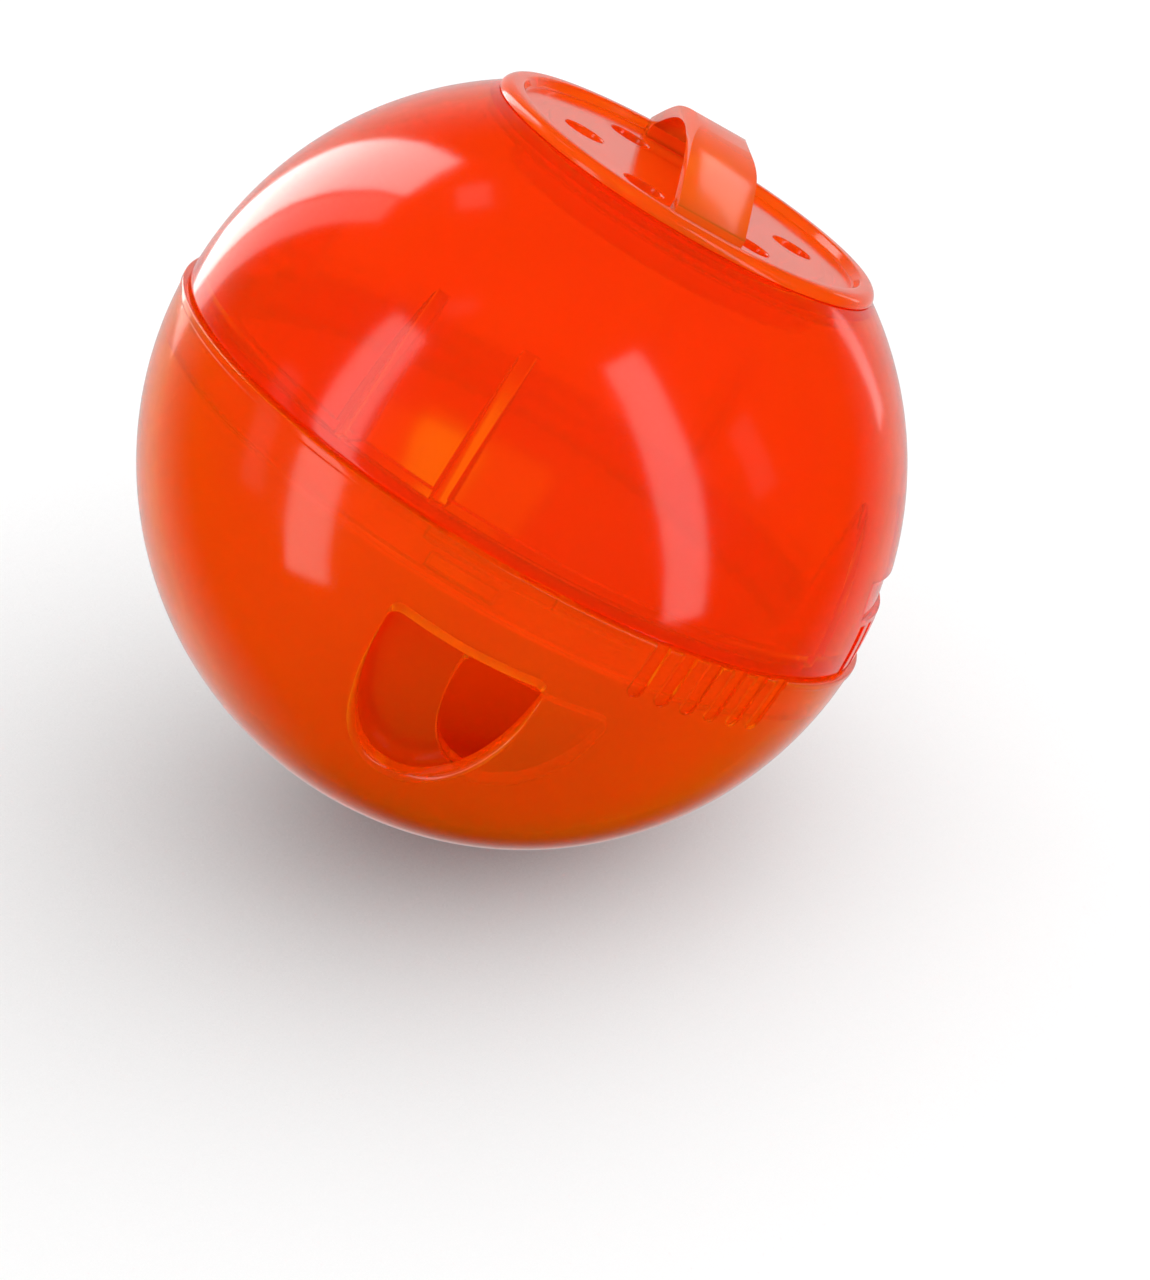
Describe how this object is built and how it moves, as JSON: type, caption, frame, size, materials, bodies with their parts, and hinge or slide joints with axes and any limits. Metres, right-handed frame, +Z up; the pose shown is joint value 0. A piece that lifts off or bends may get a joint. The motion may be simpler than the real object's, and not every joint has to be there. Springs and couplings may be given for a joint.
{
  "type": "treat dispensing ball",
  "caption": "Hollow ball toy for dry treats: the lower shell turns against the upper half to open or shut its side windows, and a vented plug cap with a strap handle lifts off to fill it",
  "frame": {"origin": "the centre of the ball, where the ball's axis meets the plane through its widest ring; the seam's middle is half a millimetre above it", "axes": "+Z runs up the ball's axis through the cap; the strap handle runs along Y; -Y is the front, where the pictured window is centred four degrees towards -X"},
  "size_m": [0.0762, 0.0762, 0.0763],
  "materials": {
    "shell_lower": "translucent red-orange moulded plastic, polished",
    "shell_upper": "translucent red-orange moulded plastic, polished",
    "bowl": "translucent orange moulded plastic, polished",
    "cap": "translucent red-orange moulded plastic, polished",
    "handle": "translucent red-orange moulded plastic, polished"
  },
  "bodies": {
    "upper_half": {"upper_shell": "shell_upper", "shutter_bowl": "bowl"},
    "lower_half": {"lower_shell": "shell_lower"},
    "lid": {"cap": "cap", "strap_handle": "handle"}
  },
  "joints": [
    {"name": "shutter_turn", "type": "hinge", "parent": "upper_half", "child": "lower_half", "pos_m": [0, 0, 0], "axis": [0, 0, 1], "range_deg": [-14, 13.1]},
    {"name": "cap_lift", "type": "slide", "parent": "upper_half", "child": "lid", "axis": [0, 0, 1], "range_m": [0, 0.018]}
  ]
}
